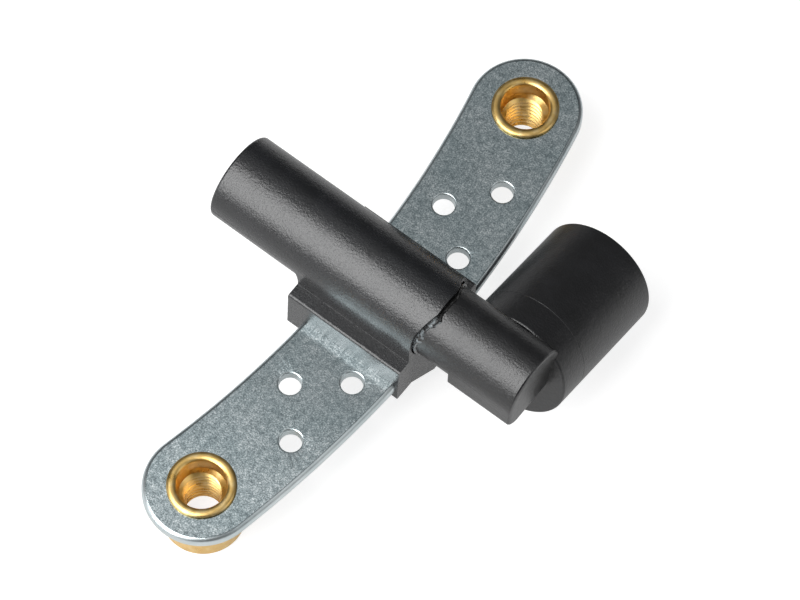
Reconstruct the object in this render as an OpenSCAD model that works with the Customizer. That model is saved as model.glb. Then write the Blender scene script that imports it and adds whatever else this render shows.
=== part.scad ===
// Crankshaft position sensor, inductive type.
// A bowed steel plate with two threaded brass bushes carries a moulded sleeve. A rear housing
// with a side connector is bonded into the back of the sleeve, behind the coil and its magnet.
// Origin: midway between the bush axes, on the plane of the bush seats.
// X runs along the sensor's axis from nose to connector, Y along the bush line, Z up.

/* [Mounting plate] */
// Distance between the two bush axes
bush_spacing = 90; // [84:0.5:98]
// Thickness of the steel sheet
plate_t = 2; // [1.6:0.1:2.6]
// Radius of the plate's rounded ends
plate_end_r = 10.1; // [9.4:0.1:11]
// Reach of the hollow edge from the bush line towards the nose, at mid-length
hollow_reach = 5; // [4:0.1:6]
// Reach of the bulging edge from the bush line towards the connector, at mid-length
bulge_reach = 14.7; // [13.4:0.1:16]
// Radius of the rolled-over upper edge
plate_edge_r = 0.7; // [0.3:0.05:0.9]
// Diameter of the six small punched holes
small_hole_d = 3.9; // [3:0.1:4.2]
// Radius of the small holes' rolled-over rims
small_hole_edge_r = 0.35; // [0.1:0.05:0.5]
// Innermost hole of each side: distance from the bush line
inner_hole_x = 8.3; // [7.5:0.1:9]
// Innermost hole of each side: distance from mid-length
inner_hole_y = 14.8; // [14.4:0.1:16]
// Middle hole of each side: distance from the bush line
middle_hole_x = 0.15; // [-0.5:0.05:1]
// Middle hole of each side: distance from mid-length
middle_hole_y = 21.4; // [20.5:0.1:22.5]
// Outermost hole of each side: distance from the bush line
outer_hole_x = 6.7; // [5.5:0.1:8]
// Outermost hole of each side: distance from mid-length
outer_hole_y = 29.5; // [28:0.1:31]

/* [Bushes] */
// Height of the bush collars under the plate
standoff = 11.3; // [9:0.1:14]
// Outer diameter of the collar
collar_d = 14.6; // [13:0.1:18]
// Diameter of the neck that passes through the plate
neck_d = 10; // [9.6:0.1:10.8]
// Outer diameter of the lip rolled down on the plate
lip_d = 11.6; // [11.2:0.1:12.6]
// Height of the lip's crown above the plate
lip_h = 0.5; // [0.3:0.05:0.7]
// Core diameter of the thread
thread_core_d = 6.65; // [5.5:0.05:7]
// Diameter of the smooth counterbore above the thread
counterbore_d = 8.6; // [8:0.1:9]
// Depth of the counterbore below the plate's upper face
counterbore_depth = 2.6; // [1.5:0.1:4]
// Length of the cone that leads from the counterbore into the thread
lead_in = 0.8; // [0.4:0.1:1.5]
// Chamfer on the collar's foot, outside and at the bore
foot_chamfer = 0.4; // [0.2:0.05:0.8]

/* [Sleeve housing] */
// Diameter of the round nose
nose_d = 16; // [15.7:0.1:18]
// Height of the sensor's axis above the plate's upper face
axis_rise = 10.45; // [9.5:0.05:13]
// Reach of the nose tip from the bush line
nose_reach = 27.75; // [25:0.25:36]
// Radius of the edge round the nose tip
nose_edge_r = 0.5; // [0.2:0.1:0.8]
// Thickness of the wall across the nose tip
tip_wall = 1.8; // [1.2:0.1:3]
// Reach of the saddle from the bush line towards the nose
saddle_front = 8.7; // [7.5:0.1:10]
// Width of the saddle at its foot
saddle_w = 22; // [20.5:0.1:24]
// Inward slope of each saddle side from foot to top
saddle_draft = 0.3; // [0:0.05:0.6]
// Height of the saddle's shelves above the plate
saddle_rise = 5.7; // [4.5:0.1:7]
// Depth of the saddle under the plate
saddle_drop = 2.6; // [1.5:0.1:4]
// Radius of the saddle's long edges
saddle_edge_r = 0.5; // [0.2:0.1:0.8]
// Radius of the fillets where round and flat faces meet
sleeve_fillet_r = 0.9; // [0.4:0.1:1.2]
// Plastic that covers the plate's bulging edge
edge_cover = 0.3; // [0.2:0.05:1]
// Half width of the swelling on the sleeve's rear end
swell_half_w = 6.9; // [6:0.1:7.5]
// Slope of the swelling's two faces
swell_slope = 0.35; // [0.2:0.01:0.5]
// Half width of the flat on the swelling's blunt ridge
swell_ridge = 2.5; // [1:0.1:4]

/* [Rear housing] */
// Diameter of the round body that goes into the sleeve
body_d = 13.7; // [12.5:0.1:13.9]
// Length of the squared block before the connector's axis
block_before = 6; // [5:0.1:7]
// Length of the squared block after the connector's axis
block_after = 6.9; // [6:0.1:9]
// Depth of the block's flat underside below the sensor's axis
block_drop = 6.65; // [6:0.05:7.5]
// Radius of the block's lower edges
block_corner_r = 2.7; // [1:0.1:4]
// Radius of the edge round the block's end face
block_edge_r = 0.6; // [0.2:0.1:1]

/* [Connector shroud] */
// Distance from the bush line to the connector's axis
connector_x = 28.3; // [28:0.1:32]
// Depth of the connector's axis below the sensor's axis, where it passes under it
connector_drop = 5.6; // [4.8:0.1:6]
// Downward tilt of the connector's axis, degrees
connector_tilt = 14.65; // [0:0.05:20]
// Outer diameter of the shroud
shroud_d = 21.2; // [20:0.1:22]
// Wall thickness of the shroud
shroud_wall = 1.9; // [1.4:0.1:2.6]
// Distance from the sensor's axis to the shroud's closed end
cap_offset = 3.5; // [2.8:0.1:4.2]
// Distance from the sensor's axis to the shroud's mouth
mouth_reach = 29.15; // [27:0.05:30]
// Depth of the socket
socket_depth = 16.5; // [14:0.1:17]
// Radius of the edge round the shroud's closed end
cap_edge_r = 0.4; // [0.2:0.1:1]
// Chamfer inside the socket's mouth
mouth_chamfer = 0.6; // [0.3:0.1:1]

/* [Terminals] */
// Width of the terminal blades
blade_w = 2.8; // [2:0.1:3.6]
// Thickness of the terminal blades
blade_t = 0.8; // [0.5:0.05:1]
// Distance between the two blades
blade_pitch = 5; // [4.5:0.1:6]
// Depth of the blade tips inside the mouth
blade_inset = 4; // [2:0.1:7]
// Chamfer on the blade tips
blade_chamfer = 0.7; // [0.3:0.1:0.9]
// Offset of each terminal's inner run from the sensor's axis
run_offset = 2; // [1.6:0.1:2.4]
// Plastic between the magnet and the terminals
run_wall = 1.5; // [1:0.1:3]
// Distance from the shroud's closed end to the middle of the terminals' risers
riser_inset = 2.2; // [1.8:0.1:3]

/* [Coil and magnet] */
// Diameter of the pole pin
pole_d = 5; // [4:0.1:5.4]
// Length of the bobbin
bobbin_len = 15; // [12:0.25:17]
// Wall thickness of the bobbin's core
bobbin_wall = 0.9; // [0.6:0.1:1.2]
// Thickness of the bobbin's flanges
flange_t = 1; // [0.8:0.1:1.4]
// Gap between the flanges and the sleeve's bore
flange_gap = 0.25; // [0.1:0.05:0.4]
// Outer diameter of the winding
winding_d = 11.8; // [11:0.1:12]
// Diameter of the magnet
magnet_d = 7; // [5.5:0.1:8]
// Length of the magnet
magnet_len = 6; // [4:0.25:7]
// Diameter of the coil's lead wires
lead_d = 0.6; // [0.4:0.05:0.7]
// Height of the lead wires over the sensor's axis
lead_rise = 5; // [4.9:0.05:5.2]

/* [Fits] */
// Radial clearance of pieces that are pushed together
slide_gap = 0.05; // [0.02:0.01:0.08]
// Clearance left round pieces that are moulded or poured in
mould_gap = 0.02; // [0.01:0.01:0.04]
// Wall thickness of the bonding resin round the rear housing
resin_t = 0.5; // [0.3:0.05:0.55]
// Depth of the resin into the sleeve, from the saddle's rear face
resin_depth = 4; // [2:0.25:6]
// Depth of the groove left above the resin
resin_groove = 0.5; // [0.2:0.1:1]

/* [Hidden] */
$fn = 96;
// Facets of the plate's very long arcs
arc_fn = 720;
// Overshoot of cuts past the faces that they open
cut = 1;

steel_colour = "#a3abb2";
brass_colour = "#c8a14a";
housing_colour = "#222326";
connector_colour = "#1a1a1c";
resin_colour = "#4a3b28";
bobbin_colour = "#d8d2c0";
copper_colour = "#b5622e";
magnet_colour = "#5b5b5e";
tin_colour = "#c3c6c8";

// Heights
plate_bottom = standoff;
plate_top = standoff + plate_t;
axis_z = plate_top + axis_rise;
shelf_z = plate_top + saddle_rise;
saddle_foot = plate_bottom - saddle_drop;

// Plate outline: two wide arcs that touch the end discs, a hair inside them so that they run in
run_in = 0.04;
touch_r = plate_end_r - run_in;
half_spacing = bush_spacing / 2;
bulge_r = (bulge_reach^2 + half_spacing^2 - touch_r^2) / (2 * (bulge_reach - touch_r));
bulge_x = bulge_reach - bulge_r;
hollow_r = (half_spacing^2 + hollow_reach^2 - touch_r^2) / (2 * (touch_r - hollow_reach));
hollow_x = -hollow_reach - hollow_r;
// Overlap of the two wide sectors past the bush line
plate_overlap = 3;
small_holes = [[inner_hole_x, inner_hole_y], [middle_hole_x, middle_hole_y], [outer_hole_x, outer_hole_y]];

// Radii
nose_r = nose_d / 2;
body_r = body_d / 2;
bore_r = body_r + slide_gap;
resin_r = bore_r + resin_t;
shroud_r = shroud_d / 2;
socket_r = shroud_r - shroud_wall;
pole_r = pole_d / 2;
core_r = pole_r + slide_gap + bobbin_wall;
flange_r = bore_r - flange_gap;
magnet_r = magnet_d / 2;
lead_r = lead_d / 2;

// Stations along the sensor's axis
tip_x = -nose_reach;
cavity_x = tip_x + tip_wall;
bobbin_front = cavity_x + slide_gap;
bobbin_rear = bobbin_front + bobbin_len;
body_front = bobbin_rear + slide_gap;
magnet_rear = body_front + magnet_len;
run_end = magnet_rear + run_wall;
lead_drop_x = run_end + lead_d;
saddle_rear = bulge_reach + edge_cover;
block_start = connector_x - block_before;
block_end = connector_x + block_after;
blade_tip = mouth_reach - blade_inset;
riser_y = (cap_offset + riser_inset) * cos(connector_tilt);

// Swelling of the sleeve's rear end: two sloped faces up to a flat ridge
swell_end = saddle_rear + swell_slope * (swell_half_w - swell_ridge);

// Frame along the sensor's axis: local Z points to the connector end
module on_axis(x = 0) {
    translate([x, 0, axis_z]) rotate([0, 90, 0]) children();
}

// Frame of the connector: local Y leaves through the mouth
module in_connector() {
    translate([connector_x, 0, axis_z - connector_drop]) rotate([-connector_tilt, 0, 0]) children();
}

// Sweeps a section drawn in Y and Z from x0 to x1
module along_x(x0, x1) {
    translate([x0, 0, 0]) rotate([90, 0, 90]) linear_extrude(x1 - x0) children();
}

// Round disc, standing on z = 0, with a rounded upper edge
module rolled_disc(r, h, edge) {
    rotate_extrude() {
        square([r - edge, h]);
        square([r, h - edge]);
        translate([r - edge, h - edge]) circle(edge);
    }
}

// Cutter for a round hole of height h whose upper rim is rolled over
module rolled_cutter(r, h, edge) {
    rotate_extrude() {
        translate([0, -cut]) square([r, h + 2 * cut]);
        difference() {
            translate([0, h - edge]) square([r + edge, edge + cut]);
            translate([r + edge, h - edge]) circle(edge);
        }
    }
}

// Section of the plate that reaches out to r, with its outer upper edge eased in two steps
module plate_section(r, h) {
    step = plate_edge_r * (1 - cos(45));
    polygon([[0, 0], [r, 0], [r, h - plate_edge_r], [r - step, h - step], [r - plate_edge_r, h], [0, h]]);
}

// Plate without its holes; grow makes the pocket that the sleeve leaves for it.
// The two ends are round discs and the two wide edges revolved sectors that run into them.
module plate_blank(grow = 0) {
    h = plate_t + 2 * grow;
    depth = plate_end_r + plate_overlap;
    bulge_angle = atan2(half_spacing, -bulge_x);
    hollow_angle = atan2(half_spacing, -hollow_x);
    translate([0, 0, plate_bottom - grow]) {
        for (side = [-1, 1]) translate([0, side * half_spacing, 0])
            rotate_extrude() plate_section(plate_end_r + grow, h);
        translate([bulge_x, 0, 0]) rotate([0, 0, -bulge_angle])
            rotate_extrude(angle = 2 * bulge_angle, $fn = arc_fn)
                translate([bulge_r + grow - depth, 0]) plate_section(depth, h);
        translate([hollow_x, 0, 0]) rotate([0, 0, -hollow_angle])
            rotate_extrude(angle = 2 * hollow_angle, $fn = arc_fn)
                translate([hollow_r - grow + depth, 0]) mirror([1, 0]) plate_section(depth, h);
    }
}

module mounting_plate() {
    color(steel_colour) difference() {
        plate_blank();
        translate([0, 0, plate_bottom]) for (side = [-1, 1]) {
            for (hole = small_holes) translate([hole.x, side * hole.y, 0])
                rolled_cutter(small_hole_d / 2, plate_t, small_hole_edge_r);
            translate([0, side * half_spacing, -cut])
                cylinder(h = plate_t + 2 * cut, d = neck_d + 2 * slide_gap);
        }
    }
}

// Section of a turned bush: collar, neck through the plate, lip rolled down on the plate
module bush_section() {
    core = thread_core_d / 2;
    counter = counterbore_d / 2;
    lip_half = (lip_d / 2 - counter) / 2;
    lip_round = (lip_half^2 + lip_h^2) / (2 * lip_h);
    cone_top = plate_top - counterbore_depth;
    polygon([[core + foot_chamfer, 0], [collar_d / 2 - foot_chamfer, 0], [collar_d / 2, foot_chamfer],
             [collar_d / 2, plate_bottom], [neck_d / 2, plate_bottom], [neck_d / 2, plate_top],
             [counter, plate_top], [counter, cone_top], [core, cone_top - lead_in],
             [core, foot_chamfer]]);
    intersection() {
        translate([counter + lip_half, plate_top + lip_h - lip_round]) circle(lip_round);
        translate([counter, plate_top]) square([2 * lip_half, lip_h + cut]);
    }
}

module bush(side) {
    color(brass_colour) translate([0, side * half_spacing, 0]) rotate_extrude() bush_section();
}

module near_bush() { bush(-1); }

module far_bush() { bush(1); }

// Section of the sleeve over the plate: drafted saddle, walls up to the axis, fillets on the shelves
module saddle_section() {
    top_half = saddle_w / 2 - saddle_draft - saddle_edge_r;
    foot_half = saddle_w / 2 - saddle_edge_r;
    hull() for (side = [-1, 1]) {
        translate([side * top_half, shelf_z - saddle_edge_r]) circle(saddle_edge_r, $fn = 32);
        translate([side * foot_half, saddle_foot + saddle_edge_r]) circle(saddle_edge_r, $fn = 32);
    }
    translate([-nose_r, saddle_foot + saddle_edge_r]) square([nose_d, axis_z - saddle_foot - saddle_edge_r]);
    for (side = [-1, 1]) difference() {
        translate([side * (nose_r + sleeve_fillet_r / 2), shelf_z + sleeve_fillet_r / 2])
            square(sleeve_fillet_r, center = true);
        translate([side * (nose_r + sleeve_fillet_r), shelf_z + sleeve_fillet_r]) circle(sleeve_fillet_r);
    }
}

// Plan of the sleeve: straight sides, and a rear end that swells to a blunt ridge
module sleeve_plan() {
    half_w = saddle_w / 2 + cut;
    translate([tip_x - cut, -half_w]) square([saddle_rear - tip_x + cut, 2 * half_w]);
    polygon([[tip_x, -swell_half_w], [saddle_rear, -swell_half_w], [swell_end, -swell_ridge],
             [swell_end, swell_ridge], [saddle_rear, swell_half_w], [tip_x, swell_half_w]]);
}

// The plan carried up through the whole height of the sleeve
module sleeve_plan_prism() {
    translate([0, 0, saddle_foot - cut])
        linear_extrude(axis_z + nose_r - saddle_foot + 2 * cut) sleeve_plan();
}

module nose() {
    rear = swell_end + cut;
    on_axis(rear) rotate([180, 0, 0]) rolled_disc(nose_r, rear - tip_x, nose_edge_r);
}

// Concave blend between the round nose and the front of the saddle
module nose_fillet() {
    intersection() {
        on_axis(-saddle_front - sleeve_fillet_r) rotate_extrude() difference() {
            square([nose_r + sleeve_fillet_r, sleeve_fillet_r]);
            translate([nose_r + sleeve_fillet_r, 0]) circle(sleeve_fillet_r);
        }
        along_x(-saddle_front - sleeve_fillet_r, -saddle_front) saddle_section();
    }
}

module sleeve_housing() {
    color(housing_colour) difference() {
        union() {
            intersection() {
                union() {
                    nose();
                    along_x(-saddle_front, swell_end + cut) saddle_section();
                }
                sleeve_plan_prism();
            }
            nose_fillet();
        }
        on_axis(cavity_x) cylinder(h = swell_end - cavity_x + cut, r = bore_r);
        on_axis(saddle_rear - resin_depth) cylinder(h = swell_end, r = resin_r);
        on_axis(tip_x - cut) cylinder(h = tip_wall + 2 * cut, r = pole_r + slide_gap);
        plate_blank(mould_gap);
    }
}

// Section of the block behind the sleeve: half-round top, flat sides, rounded lower corners
module block_section(inset = 0) {
    r = body_r - inset;
    corner = block_corner_r - inset;
    floor_z = -block_drop + inset;
    intersection() {
        circle(r);
        translate([-r, 0]) square([2 * r, r]);
    }
    translate([-r, floor_z + corner]) square([2 * r, -floor_z - corner]);
    translate([-r + corner, floor_z]) square([2 * (r - corner), corner]);
    for (side = [-1, 1]) translate([side * (r - corner), floor_z + corner]) circle(corner);
}

// The block with its end edge rounded in two steps
module block() {
    step = block_edge_r * (1 - cos(45));
    translate([0, 0, axis_z]) {
        along_x(block_start, block_end - block_edge_r) block_section();
        hull() {
            along_x(block_end - block_edge_r, block_end - step) block_section(step);
            along_x(block_end - block_edge_r, block_end - block_edge_r + step) block_section();
        }
        hull() {
            along_x(block_end - block_edge_r, block_end - step) block_section(step);
            along_x(block_end - block_edge_r, block_end) block_section(block_edge_r);
        }
    }
}

// Closed shroud, standing on its cap
module shroud() {
    in_connector() translate([0, mouth_reach, 0]) rotate([90, 0, 0])
        rolled_disc(shroud_r, mouth_reach - cap_offset, cap_edge_r);
}

module socket() {
    in_connector() translate([0, mouth_reach, 0]) rotate([90, 0, 0]) {
        cylinder(h = socket_depth, r = socket_r);
        translate([0, 0, -cut])
            cylinder(h = cut + mouth_chamfer, r1 = socket_r + mouth_chamfer + cut, r2 = socket_r);
    }
}

// Flat of a terminal, drawn in Y and Z from the sensor's axis: crossbar, riser down, tilted blade
module terminal_flat(start_y, grow) {
    half_w = blade_w / 2 + grow;
    tip = blade_tip + grow;
    blade_start = (riser_y - half_w) / cos(connector_tilt);
    riser_low = -connector_drop - riser_y * tan(connector_tilt);
    translate([start_y, -half_w]) square([riser_y + half_w - start_y, 2 * half_w]);
    translate([riser_y - half_w, riser_low]) square([2 * half_w, -riser_low]);
    translate([0, -connector_drop]) rotate(-connector_tilt)
        polygon([[blade_start, -half_w], [tip - blade_chamfer, -half_w], [tip, -half_w + blade_chamfer],
                 [tip, half_w - blade_chamfer], [tip - blade_chamfer, half_w], [blade_start, half_w]]);
}

// Bent terminal: a strip along the sensor's axis, then its flat across, down and out to the mouth.
// side -1 is the terminal on the nose side, +1 the one on the end side.
module terminal(side, grow = 0) {
    half_t = blade_t / 2 + grow;
    half_w = blade_w / 2 + grow;
    blade_x = connector_x + side * blade_pitch / 2;
    run_y = -side * run_offset - half_t;
    translate([0, 0, axis_z]) {
        translate([run_end - grow, run_y, -half_w])
            cube([blade_x + half_t - run_end + grow, 2 * half_t, 2 * half_w]);
        along_x(blade_x - half_t, blade_x + half_t) terminal_flat(run_y, grow);
    }
}

// Coil lead: along the groove over the magnet, then down to the top edge of its terminal
module lead(side) {
    start = bobbin_rear - flange_t + mould_gap;
    color(copper_colour) translate([0, -side * run_offset, axis_z + lead_rise]) {
        translate([start, 0, 0]) rotate([0, 90, 0]) cylinder(h = lead_drop_x - start, r = lead_r, $fn = 24);
        translate([lead_drop_x, 0, 0]) sphere(lead_r, $fn = 24);
        translate([lead_drop_x, 0, blade_w / 2 - lead_rise])
            cylinder(h = lead_rise - blade_w / 2, r = lead_r, $fn = 24);
    }
}

// Grooves in the rear housing, and in the bobbin's rear flange, that the leads lie in
module lead_groove(side, x0, x1) {
    half_w = lead_r + slide_gap;
    translate([x0, -side * run_offset - half_w, axis_z + lead_rise - half_w])
        cube([x1 - x0, 2 * half_w, bore_r]);
}

module rear_housing() {
    color(connector_colour) difference() {
        union() {
            on_axis(body_front) cylinder(h = block_start - body_front + cut, r = body_r);
            block();
            shroud();
        }
        socket();
        on_axis(body_front - cut) cylinder(h = magnet_len + slide_gap + cut, r = magnet_r + slide_gap);
        for (side = [-1, 1]) {
            terminal(side, mould_gap);
            lead_groove(side, body_front - cut, lead_drop_x + lead_r + slide_gap);
            translate([lead_drop_x, -side * run_offset, axis_z])
                cylinder(h = lead_rise, r = lead_r + slide_gap);
        }
    }
}

module bonding_resin() {
    color(resin_colour) intersection() {
        on_axis(saddle_rear - resin_depth + mould_gap) difference() {
            cylinder(h = swell_end, r = resin_r - mould_gap);
            translate([0, 0, -cut]) cylinder(h = swell_end + 2 * cut, r = body_r + mould_gap);
        }
        translate([-resin_groove, 0, 0]) sleeve_plan_prism();
    }
}

module coil_bobbin() {
    color(bobbin_colour) difference() {
        on_axis(bobbin_front) {
            cylinder(h = bobbin_len, r = core_r);
            cylinder(h = flange_t, r = flange_r);
            translate([0, 0, bobbin_len - flange_t]) cylinder(h = flange_t, r = flange_r);
        }
        on_axis(bobbin_front - cut) cylinder(h = bobbin_len + 2 * cut, r = pole_r + slide_gap);
        for (side = [-1, 1]) lead_groove(side, bobbin_rear - flange_t, bobbin_rear + cut);
    }
}

module coil_winding() {
    color(copper_colour) on_axis(bobbin_front + flange_t + mould_gap) difference() {
        cylinder(h = bobbin_len - 2 * flange_t - 2 * mould_gap, d = winding_d);
        translate([0, 0, -cut]) cylinder(h = bobbin_len, r = core_r + mould_gap);
    }
}

module pole_pin() {
    color(steel_colour) on_axis(tip_x) cylinder(h = bobbin_rear - tip_x, r = pole_r);
}

module magnet() {
    color(magnet_colour) on_axis(body_front) cylinder(h = magnet_len, r = magnet_r);
}

module inner_terminal() { color(tin_colour) terminal(-1); }

module outer_terminal() { color(tin_colour) terminal(1); }

module inner_lead() { lead(-1); }

module outer_lead() { lead(1); }

mounting_plate();
near_bush();
far_bush();
sleeve_housing();
rear_housing();
bonding_resin();
coil_bobbin();
coil_winding();
pole_pin();
magnet();
inner_terminal();
outer_terminal();
inner_lead();
outer_lead();
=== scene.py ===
"""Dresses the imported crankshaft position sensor: rounded plate, threaded bushes, moulded housings, resin."""
import math

import bmesh
import bpy
from mathutils import Matrix, Vector, noise


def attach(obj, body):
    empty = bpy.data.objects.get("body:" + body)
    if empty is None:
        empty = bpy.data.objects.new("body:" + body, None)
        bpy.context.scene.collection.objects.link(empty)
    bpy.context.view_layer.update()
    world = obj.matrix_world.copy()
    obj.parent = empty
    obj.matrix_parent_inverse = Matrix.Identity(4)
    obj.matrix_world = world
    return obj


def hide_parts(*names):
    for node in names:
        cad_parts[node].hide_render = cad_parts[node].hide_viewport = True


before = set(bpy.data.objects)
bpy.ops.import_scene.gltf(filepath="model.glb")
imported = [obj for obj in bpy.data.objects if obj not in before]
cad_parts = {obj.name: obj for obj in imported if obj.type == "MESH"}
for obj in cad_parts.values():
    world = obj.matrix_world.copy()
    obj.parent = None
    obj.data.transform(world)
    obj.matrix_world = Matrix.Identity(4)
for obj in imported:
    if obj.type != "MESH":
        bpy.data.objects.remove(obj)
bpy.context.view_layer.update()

MM = 0.001

# Sizes of the solids that the new pieces follow, in millimetres
HALF_SPACING = 45.0
PLATE_BOTTOM = 11.3
PLATE_TOP = 13.3
END_R = 10.1
HOLLOW_REACH = 5.0
BULGE_REACH = 14.7
SMALL_HOLE_R = 1.95
SMALL_HOLE_EDGE_R = 0.35
SMALL_HOLES = [(8.3, 14.8), (0.15, 21.4), (6.7, 29.5)]
NECK_HOLE_R = 5.05
COLLAR_R = 7.3
NECK_R = 5.0
COUNTERBORE_R = 4.3
CONE_TOP = 10.7
FOOT_CHAMFER = 0.4
THREAD_TOP = 9.9
THREAD_CORE_R = 3.325
AXIS_Z = 23.75
NOSE_R = 8.0
SADDLE_FRONT = -8.7
SADDLE_REAR = 15.0
SHELF_Z = 19.0
SHELF_FILLET_R = 0.9
SWELL_HALF_W = 6.9
SWELL_SLOPE = 0.35
SWELL_RIDGE = 2.5
BODY_R = 6.85
BLOCK_END = 35.2
RESIN_FRONT = 11.0
CONNECTOR_TILT = math.radians(14.65)
CONNECTOR_BASE = Vector((28.3, 0, AXIS_Z - 5.6))
CONNECTOR_WAY = Vector((0, math.cos(CONNECTOR_TILT), -math.sin(CONNECTOR_TILT)))
SHROUD_R = 10.6

# Finer forms that only the scene has, in millimetres
PLATE_EDGE_R = 0.9
PLATE_SHEAR = 0.12
HOLE_SHEAR = 0.08
CREASE_R = 0.04
LIP_R = 5.95
LIP_MID = 0.3
LIP_HALF_H = 0.42
COLLAR_EDGE = 0.15
THREAD_FOOT = 0.12
THREAD_MAJOR_R = 4.0
THREAD_RELIEF = 0.06
THREAD_PITCH = 1.25
THREAD_START = math.radians(88)
MOULD_EDGE_R = 0.16
LINE_HALF_W = 0.1
NOSE_LINE_DEPTH = 0.09
BODY_LINE_DEPTH = 0.05
BODY_LINE_START = 17.5
WITNESS_PLACE = 9.4
WITNESS_HALF_W = 0.08
WITNESS_DEPTH = 0.04

# Edges turned by more than these angles are shaded sharp, or rounded off
SHARP_ANGLE = math.radians(25)
ROUNDED_ANGLE = math.radians(40)

# Soft lamps: name, direction from the object, distance, width and height in metres, radiance
LAMPS = [
    ("key_softbox", (-0.24, -0.6, 0.765), 0.6, 0.4, 0.74, 5.3),
    ("key_fringe", (-0.24, 0.165, 0.957), 0.65, 0.5, 0.11, 0.6),
    ("top_panel", (-0.24, 0.37, 0.9), 0.65, 0.5, 0.3, 0.34),
    ("side_panel", (0.72, 0.2, 0.66), 0.7, 0.6, 0.36, 0.9),
    ("front_card", (-0.6, -0.75, 0.16), 0.7, 0.9, 0.24, 0.9),
]
LAMP_TARGET = Vector((0.004, 0.0, 0.02))


# Mesh helpers

def finish_piece(name, bm, material, node):
    """Makes the bmesh a smooth-shaded object at the origin that stands for the CAD node."""
    mesh = bpy.data.meshes.new(name)
    bm.to_mesh(mesh)
    bm.free()
    # Normals stored with a CAD mesh no longer fit its copy
    stored = mesh.attributes.get("custom_normal")
    if stored:
        mesh.attributes.remove(stored)
    mesh.shade_smooth()
    mesh.set_sharp_from_angle(angle=SHARP_ANGLE)
    mesh.materials.append(material)
    piece = bpy.data.objects.new(name, mesh)
    bpy.context.scene.collection.objects.link(piece)
    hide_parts(node)
    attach(piece, "root")
    return piece


def keep_flats(piece):
    """Keeps broad flat faces flat in the shading, up to their rounded edges."""
    flatten = piece.modifiers.new("flat_faces", "WEIGHTED_NORMAL")
    flatten.keep_sharp = True
    flatten.weight = 50


def to_metres(bm):
    """Turns a mesh drawn in millimetres into metres."""
    bmesh.ops.scale(bm, vec=(MM, MM, MM), verts=bm.verts)


def close_up(bm, distance=1e-4):
    """Merges doubles and turns all faces outwards."""
    bmesh.ops.remove_doubles(bm, verts=bm.verts, dist=distance)
    bmesh.ops.recalc_face_normals(bm, faces=bm.faces)


def arc_from(bm, vert, centre, angle, steps):
    """Spins one vertex round a centre; returns the new edges and the last vertex."""
    before = set(bm.edges)
    out = bmesh.ops.spin(bm, geom=[vert], cent=centre, axis=(0, 0, 1), angle=angle, steps=steps)
    return [e for e in bm.edges if e not in before], out["geom_last"][0]


def ring(bm, x, y, z, radius, segments):
    """Level circle of edges."""
    verts = bmesh.ops.create_circle(
        bm, segments=segments, radius=radius, matrix=Matrix.Translation((x, y, z)))["verts"]
    return list({e for v in verts for e in v.link_edges})


def bridge_stack(bm, loops):
    """Walls between each loop of edges and the next."""
    for lower, upper in zip(loops, loops[1:]):
        bmesh.ops.bridge_loops(bm, edges=lower + upper)


def bm_from_node(name):
    """Merged copy of a CAD node's mesh, with its flat areas made whole again."""
    bm = bmesh.new()
    bm.from_mesh(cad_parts[name].data)
    bmesh.ops.remove_doubles(bm, verts=bm.verts, dist=2e-6)
    bmesh.ops.dissolve_limit(
        bm, angle_limit=math.radians(0.3), use_dissolve_boundaries=False,
        verts=bm.verts, edges=bm.edges)
    return bm


# Material helpers

def linear(hex_colour):
    """Linear RGBA of an sRGB hex colour."""
    parts = [int(hex_colour[i:i + 2], 16) / 255 for i in (1, 3, 5)]
    return tuple(c / 12.92 if c <= 0.04045 else ((c + 0.055) / 1.055) ** 2.4 for c in parts) + (1.0,)


def feed(tree, node, inputs):
    """Gives a node its inputs: a socket is linked, anything else is set."""
    for key, value in inputs.items():
        if isinstance(value, bpy.types.NodeSocket):
            tree.links.new(value, node.inputs[key])
        else:
            node.inputs[key].default_value = value


def add(tree, kind, settings=None, inputs=None):
    """Adds a node with its settings and inputs."""
    node = tree.nodes.new("ShaderNode" + kind)
    for key, value in (settings or {}).items():
        setattr(node, key, value)
    feed(tree, node, inputs or {})
    return node


def start_material(name):
    """Empty material; returns it, its tree, its shader and the object's coordinates."""
    material = bpy.data.materials.new(name)
    material.use_nodes = True
    tree = material.node_tree
    shader = tree.nodes["Principled BSDF"]
    coords = add(tree, "TexCoord").outputs["Object"]
    return material, tree, shader, coords


def per_mm(size):
    """Noise scale whose features are about that many millimetres wide."""
    return 1.0 / (size * MM)


def speckle(tree, coords, size, detail, roughness=0.5):
    """Noise with features about that many millimetres wide."""
    return add(tree, "TexNoise", inputs={
        "Vector": coords, "Scale": per_mm(size), "Detail": detail, "Roughness": roughness}).outputs["Fac"]


def calc(tree, operation, *values):
    """One step of arithmetic on values and sockets."""
    return add(tree, "Math", {"operation": operation}, dict(enumerate(values))).outputs[0]


def remap(tree, value, low, high, to_low, to_high):
    """Maps one range on another and holds it at both ends."""
    return add(tree, "MapRange", inputs={
        "Value": value, "From Min": low, "From Max": high,
        "To Min": to_low, "To Max": to_high}).outputs["Result"]


def relief(tree, height, depth):
    """Normal of a relief that is that many millimetres deep."""
    return add(tree, "Bump", inputs={
        "Height": height, "Strength": 1.0, "Distance": depth * MM}).outputs["Normal"]


def ramp(tree, factor, stops):
    """Colour ramp from a list of places and sRGB colours."""
    node = add(tree, "ValToRGB", inputs={"Fac": factor})
    elements = node.color_ramp.elements
    while len(elements) < len(stops):
        elements.new(0.5)
    for element, (place, colour) in zip(elements, stops):
        element.position = place
        element.color = linear(colour)
    return node.outputs["Color"]


# Materials

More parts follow.
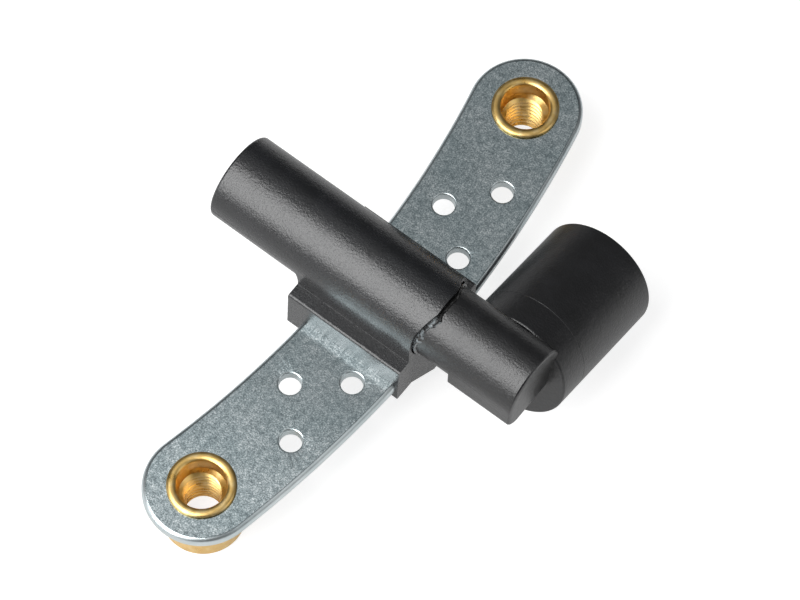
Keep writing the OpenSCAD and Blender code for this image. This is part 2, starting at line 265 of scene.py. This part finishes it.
def moulded_nylon(name, dark, light, rough_low, rough_high):
    """Black glass-filled nylon as moulded: satin, with a fine spark-eroded grain and faint cloudy flow."""
    material, tree, shader, coords = start_material(name)
    grain = speckle(tree, coords, 0.34, 3.0, 0.6)
    cloud = speckle(tree, coords, 5.0, 3.0, 0.55)
    specks = speckle(tree, coords, 0.9, 2.0)
    mixed = calc(tree, "MULTIPLY_ADD", grain, 0.5, calc(tree, "MULTIPLY", cloud, 0.5))
    height = calc(tree, "MULTIPLY_ADD", specks, 0.6, grain)
    feed(tree, shader, {
        "Base Color": ramp(tree, cloud, [(0.35, dark), (0.7, light)]),
        "Roughness": remap(tree, mixed, 0.3, 0.7, rough_low, rough_high),
        "IOR": 1.68,
        "Normal": relief(tree, height, 0.07)})
    return material


def zinc_plated_steel():
    """Bright zinc plate on pressed steel: clear grey, finely mottled by its crystals, burnished on the edges,
    where a pale tone is also painted in as a highlight.
    """
    material, tree, shader, coords = start_material("zinc_plated_steel_passivated")
    # Crystals are finer than a pixel, so they are drawn 0.25 mm wide to show
    crystal = speckle(tree, coords, 0.25, 2.0, 0.65)
    bloom = speckle(tree, coords, 1.1, 3.0, 0.6)
    patch = speckle(tree, coords, 7.0, 2.0)
    mottle = calc(tree, "MULTIPLY_ADD", bloom, 0.5, crystal)
    # Tumbling in the plating barrel smooths the rolled edges, so the mottle fades where the face turns; there
    # the colour also goes pale, a painted highlight on the rolled edges and rims
    facing = add(tree, "SeparateXYZ", inputs={"Vector": add(tree, "NewGeometry").outputs["Normal"]})
    flat = remap(tree, calc(tree, "ABSOLUTE", facing.outputs["Z"]), 0.93, 0.995, 0.0, 1.0)
    # Near-white tone taken by the turned faces: tumbling wear together with a painted highlight
    edge_wear_and_highlight_tone = 0.9
    mottle_with_edge_highlight = calc(tree, "MULTIPLY_ADD", calc(tree, "SUBTRACT", mottle, edge_wear_and_highlight_tone), flat, edge_wear_and_highlight_tone)
    colour = ramp(tree, mottle_with_edge_highlight, [
        (0.54, "#7a8588"), (0.7, "#a3afb2"), (0.84, "#c6d0d2"), (0.98, "#f3f8f9")])
    shade = ramp(tree, patch, [(0.3, "#e6ebec"), (0.7, "#ffffff")])
    mixed = add(tree, "Mix", {"data_type": "RGBA", "blend_type": "MULTIPLY"}, {0: 1.0, 6: colour, 7: shade})
    clear = remap(tree, mottle, 0.6, 0.95, 0.2, 0.12)
    feed(tree, shader, {
        "Base Color": mixed.outputs[2],
        "Metallic": 1.0,
        "Roughness": remap(tree, flat, 0.0, 1.0, 0.36, clear),
        "Normal": relief(tree, mottle_with_edge_highlight, 0.007)})
    return material


def turned_brass():
    """Free-cutting brass from the lathe: bright gold, with fine rings left by the tool."""
    material, tree, shader, coords = start_material("turned_brass")
    # Both bushes share the rings: the sign of Y is dropped and the axis moved to the bush
    axes = add(tree, "SeparateXYZ", inputs={"Vector": coords})
    centred = calc(tree, "SUBTRACT", calc(tree, "ABSOLUTE", axes.outputs["Y"]), HALF_SPACING * MM)
    flat = add(tree, "CombineXYZ", inputs={"X": axes.outputs["X"], "Y": centred})
    radius = add(tree, "VectorMath", {"operation": "LENGTH"}, {0: flat.outputs[0]})
    along = calc(tree, "ADD", radius.outputs["Value"], axes.outputs["Z"])
    # Feed marks 0.12 mm apart
    marks = add(tree, "TexNoise", {"noise_dimensions": "1D"}, {
        "W": along, "Scale": per_mm(0.12), "Detail": 2.0})
    stain = speckle(tree, coords, 1.6, 3.0)
    feed(tree, shader, {
        "Base Color": ramp(tree, stain, [(0.3, "#e3b868"), (0.55, "#eeca82"), (0.75, "#f5dca6")]),
        "Metallic": 1.0,
        "Roughness": remap(tree, stain, 0.3, 0.7, 0.26, 0.38),
        "Normal": relief(tree, marks.outputs["Fac"], 0.006)})
    return material


def cured_epoxy():
    """Cured epoxy bead: dark and glossy in the joint, painted pale on the lumps that stand out on the near side,
    as a highlight where they catch the light.
    """
    material, tree, shader, coords = start_material("cured_epoxy")
    cloud = speckle(tree, coords, 0.7, 3.0)
    axes = add(tree, "SeparateXYZ", inputs={"Vector": coords})
    # The lumps lie on the near side, 2 mm and more from mid-plane; their colour is lifted there as a painted
    # highlight
    lumps = remap(tree, axes.outputs["Y"], -1.6 * MM, -3.0 * MM, 0.0, 0.45)
    feed(tree, shader, {
        # The pale top of the ramp is reached only on the lumps: painted highlight
        "Base Color": ramp(tree, calc(tree, "ADD", cloud, lumps), [
            (0.4, "#191919"), (0.74, "#222222"), (0.92, "#3c3d3e"), (1.0, "#80878a")]),
        "Roughness": 0.18,
        "IOR": 1.55,
        "Normal": relief(tree, cloud, 0.1)})
    return material


def plain_metal(name, dark, light, rough, grain_mm, along):
    """Drawn or plated metal: fine streaks along one axis, slight colour change between them."""
    material, tree, shader, coords = start_material(name)
    stretch = add(tree, "Mapping", inputs={"Vector": coords, "Scale": along})
    streak = speckle(tree, stretch.outputs["Vector"], grain_mm, 2.0)
    feed(tree, shader, {
        "Base Color": ramp(tree, streak, [(0.35, dark), (0.65, light)]),
        "Metallic": 1.0,
        "Roughness": remap(tree, streak, 0.3, 0.7, rough, rough + 0.12),
        "Normal": relief(tree, streak, 0.01)})
    return material


def natural_nylon():
    """Unfilled nylon of the bobbin: milky ivory, slightly waxy."""
    material, tree, shader, coords = start_material("natural_nylon")
    cloud = speckle(tree, coords, 3.0, 2.0)
    feed(tree, shader, {
        "Base Color": ramp(tree, cloud, [(0.35, "#cfc8b4"), (0.65, "#ded8c6")]),
        "Roughness": 0.42})
    return material


# Pieces

def plate_outline(bm, inset, z):
    """Closed outline of the plate, drawn in four arcs by spinning one vertex."""
    bulge_r = (BULGE_REACH ** 2 + HALF_SPACING ** 2 - END_R ** 2) / (2 * (BULGE_REACH - END_R))
    hollow_r = (HALF_SPACING ** 2 + HOLLOW_REACH ** 2 - END_R ** 2) / (2 * (END_R - HOLLOW_REACH))
    bulge_x = BULGE_REACH - bulge_r
    hollow_x = -HOLLOW_REACH - hollow_r
    bulge_a = math.atan2(HALF_SPACING, -bulge_x)
    hollow_a = math.atan2(HALF_SPACING, -hollow_x)
    reach = bulge_r - inset
    first = vert = bm.verts.new((bulge_x + reach * math.cos(bulge_a), -reach * math.sin(bulge_a), z))
    edges = []
    turn = math.pi - bulge_a + hollow_a
    for centre, angle, steps in [
        ((bulge_x, 0, z), 2 * bulge_a, 72),
        ((0, HALF_SPACING, z), turn, 60),
        ((hollow_x, 0, z), -2 * hollow_a, 72),
        ((0, -HALF_SPACING, z), turn, 60),
    ]:
        new, vert = arc_from(bm, vert, centre, angle, steps)
        edges += new
    bmesh.ops.weld_verts(bm, targetmap={vert: first})
    return [e for e in edges if e.is_valid] + [e for e in first.link_edges if e not in edges]


def pressed_rim(shear, radius, steps):
    """Section of a pressed rim as pairs of inset and height: sheared foot, rolled-over top."""
    section = [(shear, PLATE_BOTTOM), (0.0, PLATE_BOTTOM + shear)]
    for i in range(steps + 1):
        t = math.radians(90 * i / steps)
        section.append((radius * (1 - math.cos(t)), PLATE_TOP - radius * (1 - math.sin(t))))
    return section


def make_plate(material):
    """Pressed plate: eased upper edge, sheared lower edge, punched holes with rolled rims."""
    bm = bmesh.new()
    stacks = [[plate_outline(bm, inset, z) for inset, z in pressed_rim(PLATE_SHEAR, PLATE_EDGE_R, 6)]]
    hole_rim = pressed_rim(HOLE_SHEAR, SMALL_HOLE_EDGE_R, 4)
    for side in (-1, 1):
        for x, y in SMALL_HOLES:
            stacks.append([ring(bm, x, side * y, z, SMALL_HOLE_R + out, 64) for out, z in hole_rim])
        stacks.append([ring(bm, 0, side * HALF_SPACING, z, NECK_HOLE_R, 96)
                       for z in (PLATE_BOTTOM, PLATE_TOP)])
    lower = [e for stack in stacks for e in stack[0]]
    upper = [e for stack in stacks for e in stack[-1]]
    for stack in stacks:
        bridge_stack(bm, stack)
    for edges in (lower, upper):
        bmesh.ops.triangle_fill(bm, use_beauty=True, use_dissolve=False, edges=edges, normal=(0, 0, 1))
    close_up(bm)
    to_metres(bm)
    keep_flats(finish_piece("zinc_plate", bm, material, "mounting_plate"))


def lip_profile():
    """Half section of the bush outside the thread, from the thread's top round to its foot."""
    half = (LIP_R - COUNTERBORE_R) / 2
    under = math.pi - math.acos(LIP_MID / LIP_HALF_H)
    points = [(COUNTERBORE_R, CONE_TOP)]
    steps = 20
    for i in range(steps + 1):
        t = -math.pi / 2 + (under + math.pi / 2) * i / steps
        points.append((COUNTERBORE_R + half + half * math.sin(t),
                       PLATE_TOP + LIP_MID + LIP_HALF_H * math.cos(t)))
    points += [
        (NECK_R, PLATE_TOP), (NECK_R, PLATE_BOTTOM),
        (COLLAR_R - COLLAR_EDGE, PLATE_BOTTOM), (COLLAR_R, PLATE_BOTTOM - COLLAR_EDGE),
        (COLLAR_R, FOOT_CHAMFER), (COLLAR_R - FOOT_CHAMFER, 0.0), (THREAD_MAJOR_R + THREAD_RELIEF, 0.0)]
    return points


def profile_chain(bm, points):
    """Vertices and edges of an open half section, drawn in the plane y = 0."""
    verts = [bm.verts.new((r, 0, z)) for r, z in points]
    return verts + [bm.edges.new(pair) for pair in zip(verts, verts[1:])]


def level_rim(bm, z, radius):
    """Open edges that lie at one height, within a radius."""
    return [e for e in bm.edges if e.is_boundary and all(
        abs(v.co.z - z) < 1e-3 and v.co.xy.length < radius for v in e.verts)]


def make_bush(name, side, material, node):
    """Turned bush with its M8 thread cut as a true helix."""
    bm = bmesh.new()
    steps = 96
    turns = math.ceil(THREAD_TOP / THREAD_PITCH) + 3
    # One turn of the thread: radius and share of the pitch
    flank = [(THREAD_CORE_R, 0.0), (THREAD_CORE_R, 0.25), (THREAD_MAJOR_R, 0.5625),
             (THREAD_MAJOR_R, 0.6875), (THREAD_CORE_R, 1.0)]
    # The helix starts two turns below the foot, so that the cut leaves whole turns
    bmesh.ops.spin(bm, geom=profile_chain(bm, [(r, (share - 2) * THREAD_PITCH) for r, share in flank]),
                   cent=(0, 0, 0), axis=(0, 0, 1), angle=2 * math.pi * turns, steps=steps * turns,
                   dvec=(0, 0, THREAD_PITCH / steps))
    bmesh.ops.remove_doubles(bm, verts=bm.verts, dist=1e-3)
    for z, up in ((THREAD_FOOT, -1), (THREAD_TOP, 1)):
        bmesh.ops.bisect_plane(bm, geom=bm.verts[:] + bm.edges[:] + bm.faces[:], dist=1e-5,
                               plane_co=(0, 0, z), plane_no=(0, 0, up), clear_outer=True)
    outline = lip_profile()
    bmesh.ops.spin(bm, geom=profile_chain(bm, outline), cent=(0, 0, 0), axis=(0, 0, 1), angle=2 * math.pi,
                   steps=2 * steps, use_merge=True)
    for thread_z, (rim_r, rim_z) in ((THREAD_TOP, outline[0]), (THREAD_FOOT, outline[-1])):
        bmesh.ops.bridge_loops(bm, edges=level_rim(bm, thread_z, COUNTERBORE_R)
                               + level_rim(bm, rim_z, rim_r + 0.01))
    close_up(bm)
    bmesh.ops.rotate(bm, cent=(0, 0, 0), matrix=Matrix.Rotation(THREAD_START, 3, "Z"), verts=bm.verts)
    bmesh.ops.translate(bm, vec=(0, side * HALF_SPACING, 0), verts=bm.verts)
    to_metres(bm)
    finish_piece(name, bm, material, node)


def score_line(bm, place, normal, half, depth, inward, side):
    """Cuts a fine V-shaped mould line where a plane meets the faces of one side.

    inward gives the way into the piece, and None off the line; side is 1 for +Y, -1 for -Y, 0 for both.
    """
    place, normal = Vector(place) * MM, Vector(normal)
    for shift in (-half, 0.0, half):
        faces = [f for f in bm.faces if f.calc_center_median().y * side >= 0]
        edges = {e for f in faces for e in f.edges}
        verts = {v for e in edges for v in e.verts}
        bmesh.ops.bisect_plane(bm, geom=list(verts) + list(edges) + faces, dist=1e-7,
                               plane_co=place + normal * shift * MM, plane_no=normal)
    for vert in bm.verts:
        if abs((vert.co - place).dot(normal)) < 1e-6:
            way = inward(vert.co / MM)
            if way:
                vert.co += way.normalized() * depth * MM


def across_axis(point):
    """Way from a point to the sensor's axis."""
    return Vector((0, -point.y, AXIS_Z - point.z))


def nose_line(point):
    """Parting line along both flanks of the nose."""
    way = across_axis(point)
    return way if point.x < SADDLE_FRONT - 1.0 and way.length > NOSE_R - 0.5 else None


def body_line(point):
    """Parting line along the outer flank of the round body and the block."""
    on_line = BODY_LINE_START < point.x < BLOCK_END - 0.7 and point.y < -BODY_R + 0.05
    return across_axis(point) if on_line else None


def shroud_line(point):
    """Witness line round the shroud."""
    away = CONNECTOR_BASE - point
    way = away - CONNECTOR_WAY * away.dot(CONNECTOR_WAY)
    return way if way.length > SHROUD_R - 0.05 else None


def tighten_shelf_fillet(bm):
    """Draws the fillet between the saddle's shelves and walls down to the crease that the photograph shows."""
    slack = 0.01
    for vert in bm.verts:
        point = vert.co / MM
        side = math.copysign(1.0, point.y)
        away = Vector((abs(point.y) - NOSE_R, point.z - SHELF_Z))
        if SADDLE_FRONT - slack < point.x < SADDLE_REAR + slack and all(
                -slack < a < SHELF_FILLET_R + slack for a in away):
            away *= CREASE_R / SHELF_FILLET_R
            vert.co = Vector((point.x, side * (NOSE_R + away.x), SHELF_Z + away.y)) * MM


def make_housing(name, node, material, lines):
    """Copy of a moulded solid with the small edge radius and the fine lines that a mould leaves."""
    bm = bm_from_node(node)
    if node == "sleeve_housing":
        tighten_shelf_fillet(bm)
    weight = bm.edges.layers.float.new("bevel_weight_edge")
    for edge in bm.edges:
        if edge.is_manifold and edge.calc_face_angle_signed() > ROUNDED_ANGLE:
            edge[weight] = 1.0
    for line in lines:
        score_line(bm, *line)
    piece = finish_piece(name, bm, material, node)
    round_off = piece.modifiers.new("mould_radius", "BEVEL")
    round_off.width = MOULD_EDGE_R * MM
    round_off.segments = 3
    round_off.limit_method = "WEIGHT"
    round_off.use_clamp_overlap = True
    round_off.harden_normals = True
    round_off.miter_outer = "MITER_ARC"
    keep_flats(piece)


def rear_edge(y):
    """Where the sleeve's rear end stands, at a distance from mid-plane."""
    if abs(y) > SWELL_HALF_W:
        return SADDLE_REAR
    return SADDLE_REAR + SWELL_SLOPE * (SWELL_HALF_W - max(abs(y), SWELL_RIDGE))


def make_resin(material):
    """Resin ring in the joint, with the bead that was squeezed out and lumps of it on the near side."""
    bm = bmesh.new()
    # Lumps: degrees from the top towards the near side, half width in degrees, reach, rise
    lumps = [(25, 6, 0.5, 0.1), (34, 5, 0.4, 0.1), (62, 6, 0.6, 0.18), (70, 4, 0.4, 0.14),
             (-4, 16, 0.1, 0.04)]
    # Section: place behind the sleeve's rear end (None at the ring's front), share of the reach, radius
    stations = [(None, 0.0, 6.88), (None, 0.0, 7.37), (-0.75, 0.0, 7.37), (-0.35, 0.0, 7.12),
                (0.02, 0.0, 7.06), (0.16, 0.25, 7.16), (0.3, 0.6, 7.2), (0.4, 0.85, 7.08), (0.46, 1.0, 6.88)]
    loops = []
    for place, share, radius in stations:
        loop = ring(bm, 0, 0, 0, 1.0, 288)
        for vert in {v for e in loop for v in e.verts}:
            angle = math.atan2(-vert.co.y, vert.co.x)
            degrees = math.degrees(angle)
            bells = [(math.exp(-((degrees - c) / w) ** 2), reach, rise) for c, w, reach, rise in lumps]
            swell = sum(bell * reach for bell, reach, rise in bells)
            raised = sum(bell * rise for bell, reach, rise in bells)
            ripple = noise.noise(Vector((math.cos(angle), math.sin(angle), radius * 0.15)) * 9.0)
            r = radius
            if share:
                r += (raised + 0.05 * ripple) * math.sin(math.pi * share)
            x = RESIN_FRONT + 0.02
            if place is not None:
                x = rear_edge(r * math.sin(angle)) + place + share * max(0.0, 0.12 + 0.16 * ripple + swell)
            vert.co = (x, -r * math.sin(angle), AXIS_Z + r * math.cos(angle))
        loops.append(loop)
    bridge_stack(bm, loops + loops[:1])
    close_up(bm, 1e-5)
    to_metres(bm)
    finish_piece("squeezed_resin", bm, material, "bonding_resin")


# Stage: white table, soft lamps, dim room

def make_floor():
    """Wide white table; to the camera it is lifted to white and keeps a pale shadow."""
    bm = bmesh.new()
    bmesh.ops.create_grid(bm, x_segments=1, y_segments=1, size=4.0)
    mesh = bpy.data.meshes.new("white_table")
    bm.to_mesh(mesh)
    bm.free()
    material = bpy.data.materials.new("white_paper")
    material.use_nodes = True
    tree = material.node_tree
    tree.nodes.remove(tree.nodes["Principled BSDF"])
    path = add(tree, "LightPath").outputs
    paper = add(tree, "BsdfDiffuse", inputs={"Color": linear("#ededed")})
    shade = add(tree, "BsdfDiffuse", inputs={"Color": linear("#b4b4b4")})
    # White to the camera; its glow is half as strong in metal and gloss, as in the photograph's mirror images
    strength = calc(tree, "MULTIPLY_ADD", path["Is Camera Ray"], 0.42, 0.39)
    glow = add(tree, "Emission", inputs={"Color": (1, 1, 1, 1), "Strength": strength})
    lifted = add(tree, "AddShader", inputs={0: shade.outputs[0], 1: glow.outputs[0]})
    mirrored = calc(tree, "MAXIMUM", path["Is Glossy Ray"], path["Is Transmission Ray"])
    seen = calc(tree, "MAXIMUM", path["Is Camera Ray"], mirrored)
    mix = add(tree, "MixShader", inputs={0: seen, 1: paper.outputs[0], 2: lifted.outputs[0]})
    feed(tree, tree.nodes["Material Output"], {"Surface": mix.outputs[0]})
    mesh.materials.append(material)
    table = bpy.data.objects.new("white_table", mesh)
    bpy.context.scene.collection.objects.link(table)


def make_softbox(name, direction, distance, width, height, radiance):
    """Area lamp of a given brightness that faces the object."""
    lamp = bpy.data.lights.new(name, "AREA")
    lamp.shape = "RECTANGLE"
    lamp.size = width
    lamp.size_y = height
    lamp.energy = radiance * math.pi * width * height
    box = bpy.data.objects.new(name, lamp)
    way = Vector(direction).normalized()
    # Its width lies along X as far as its direction lets it
    across = (Vector((1, 0, 0)) - way * way.x).normalized()
    turn = Matrix((across, way.cross(across), way)).transposed().to_4x4()
    box.matrix_world = Matrix.Translation(LAMP_TARGET + way * distance) @ turn
    box.visible_camera = False
    bpy.context.scene.collection.objects.link(box)


def make_room():
    """Dim room: white where the camera looks past the table, dark grey as a light."""
    world = bpy.data.worlds.new("dim_studio")
    bpy.context.scene.world = world
    world.use_nodes = True
    tree = world.node_tree
    path = add(tree, "LightPath")
    dim = add(tree, "Background", inputs={"Color": (0.09, 0.093, 0.096, 1), "Strength": 1.0})
    white = add(tree, "Background", inputs={"Color": (1, 1, 1, 1), "Strength": 1.0})
    mix = add(tree, "MixShader", inputs={
        0: path.outputs["Is Camera Ray"], 1: dim.outputs[0], 2: white.outputs[0]})
    feed(tree, tree.nodes["World Output"], {"Surface": mix.outputs[0]})


def make_camera():
    """Camera solved from the photograph's circles and edges."""
    camera = bpy.data.cameras.new("photo_camera")
    camera.sensor_fit = "HORIZONTAL"
    camera.sensor_width = 36.0
    camera.lens = 182.5834
    camera.clip_start = 0.01
    camera.clip_end = 20.0
    eye = bpy.data.objects.new("photo_camera", camera)
    # Columns: right, up, back, place in metres
    eye.matrix_world = Matrix((
        (0.79135409, -0.56254814, 0.23937061, 0.17098707),
        (0.61109775, 0.7164383, -0.33656456, -0.23062048),
        (0.01783949, 0.41262058, 0.91072828, 0.64380193),
        (0, 0, 0, 1)))
    bpy.context.scene.collection.objects.link(eye)
    bpy.context.scene.camera = eye


# Seen pieces
brass = turned_brass()
make_plate(zinc_plated_steel())
make_bush("near_threaded_bush", -1, brass, "near_bush")
make_bush("far_threaded_bush", 1, brass, "far_bush")
make_housing(
    "moulded_sleeve", "sleeve_housing",
    moulded_nylon("glass_filled_nylon_satin", "#161719", "#1e1f22", 0.22, 0.31), [
        ((0, 0, AXIS_Z), (0, 0, 1), LINE_HALF_W, NOSE_LINE_DEPTH, nose_line, 0)])
make_housing(
    "moulded_rear_housing", "rear_housing",
    moulded_nylon("glass_filled_nylon_matt", "#141415", "#1b1b1d", 0.28, 0.37), [
        ((0, 0, AXIS_Z), (0, 0, 1), LINE_HALF_W, BODY_LINE_DEPTH, body_line, -1),
        (CONNECTOR_BASE + CONNECTOR_WAY * WITNESS_PLACE, CONNECTOR_WAY,
         WITNESS_HALF_W, WITNESS_DEPTH, shroud_line, 1)])
make_resin(cured_epoxy())

# Solids that are shown as they are, mostly hidden
copper = plain_metal("enamelled_copper_wire", "#8a4a22", "#b5622e", 0.3, 0.2, (1.0, 0.05, 0.05))
tinned = plain_metal("tin_plated_brass", "#b9bcbd", "#d6d8d8", 0.28, 0.2, (1.0, 0.08, 1.0))
for node, finish in {
    "coil_bobbin": natural_nylon(),
    "coil_winding": copper,
    "inner_lead": copper,
    "outer_lead": copper,
    "pole_pin": plain_metal("soft_iron_turned", "#7d7d80", "#9b9b9e", 0.35, 0.15, (1.0, 1.0, 1.0)),
    "magnet": plain_metal("sintered_magnet_ground", "#4c4c50", "#66666a", 0.45, 0.25, (1.0, 1.0, 1.0)),
    "inner_terminal": tinned,
    "outer_terminal": tinned,
}.items():
    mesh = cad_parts[node].data
    mesh.materials.clear()
    mesh.materials.append(finish)

make_floor()
for lamp in LAMPS:
    make_softbox(*lamp)
make_room()
make_camera()
bpy.context.scene.view_settings.view_transform = "Standard"
